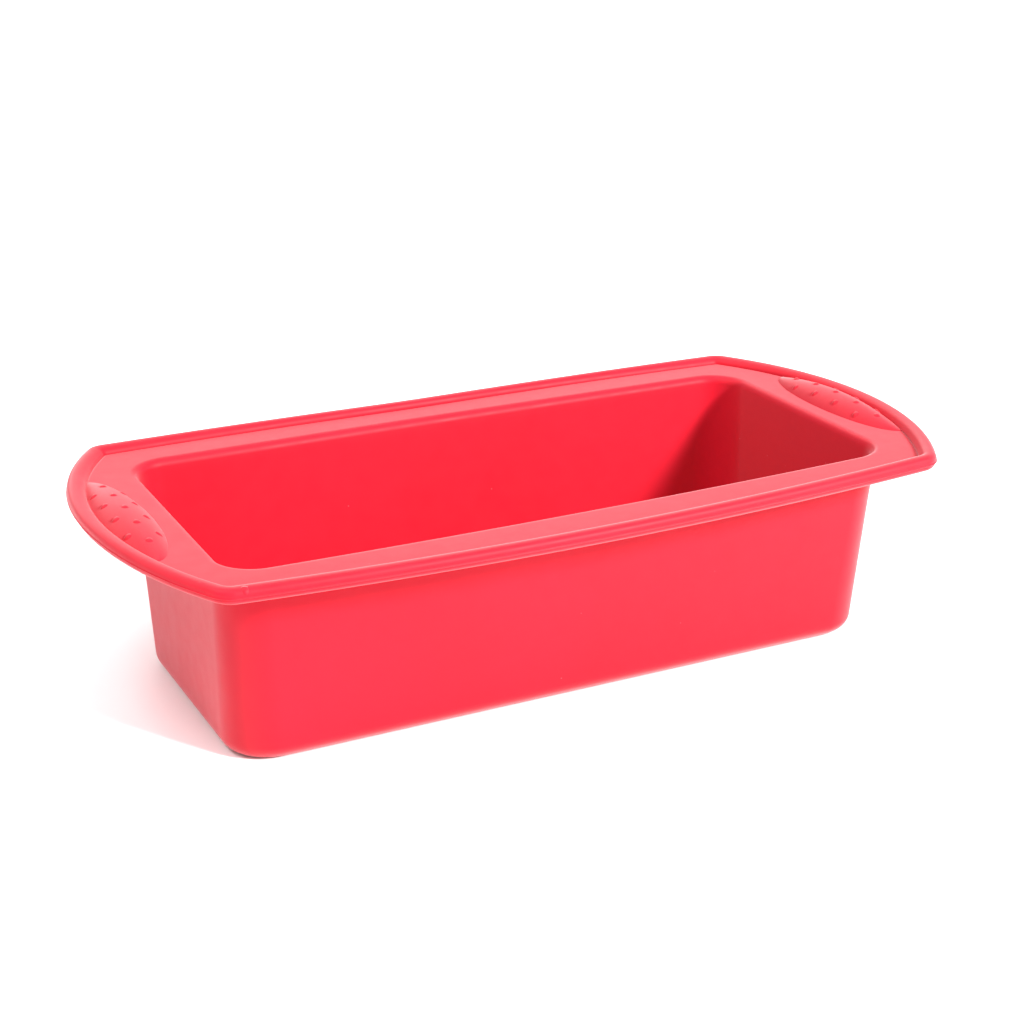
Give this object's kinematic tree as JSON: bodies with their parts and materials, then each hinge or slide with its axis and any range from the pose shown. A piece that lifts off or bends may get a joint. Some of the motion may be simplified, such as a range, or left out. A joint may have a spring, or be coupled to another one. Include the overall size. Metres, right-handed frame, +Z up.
{
  "type": "soap loaf mould",
  "caption": "Soft silicone loaf mould: a tapered open tub for pouring soap, with a flat beaded rim and a bowed grip handle at each end.",
  "frame": {"origin": "on the supporting surface, under the middle of the base", "axes": "+X along the loaf towards the right-hand handle, +Y across the loaf to the back, +Z up out of the open mouth"},
  "size_m": [0.278, 0.138, 0.0686],
  "materials": {
    "silicone": "satin moulded silicone, coral red, evenly coloured through"
  },
  "bodies": {
    "root": {"base_floor": "silicone", "front_wall": "silicone", "back_wall": "silicone", "left_end_wall": "silicone", "right_end_wall": "silicone", "front_left_corner_wall": "silicone", "front_right_corner_wall": "silicone", "back_left_corner_wall": "silicone", "back_right_corner_wall": "silicone", "front_rim_flange": "silicone", "back_rim_flange": "silicone", "front_left_rim_corner": "silicone", "front_right_rim_corner": "silicone", "back_left_rim_corner": "silicone", "back_right_rim_corner": "silicone", "left_handle_plate": "silicone", "right_handle_plate": "silicone", "front_rim_bead": "silicone", "back_rim_bead": "silicone", "left_handle_bead": "silicone", "right_handle_bead": "silicone", "left_grip_pad": "silicone", "right_grip_pad": "silicone"}
  },
  "joints": []
}
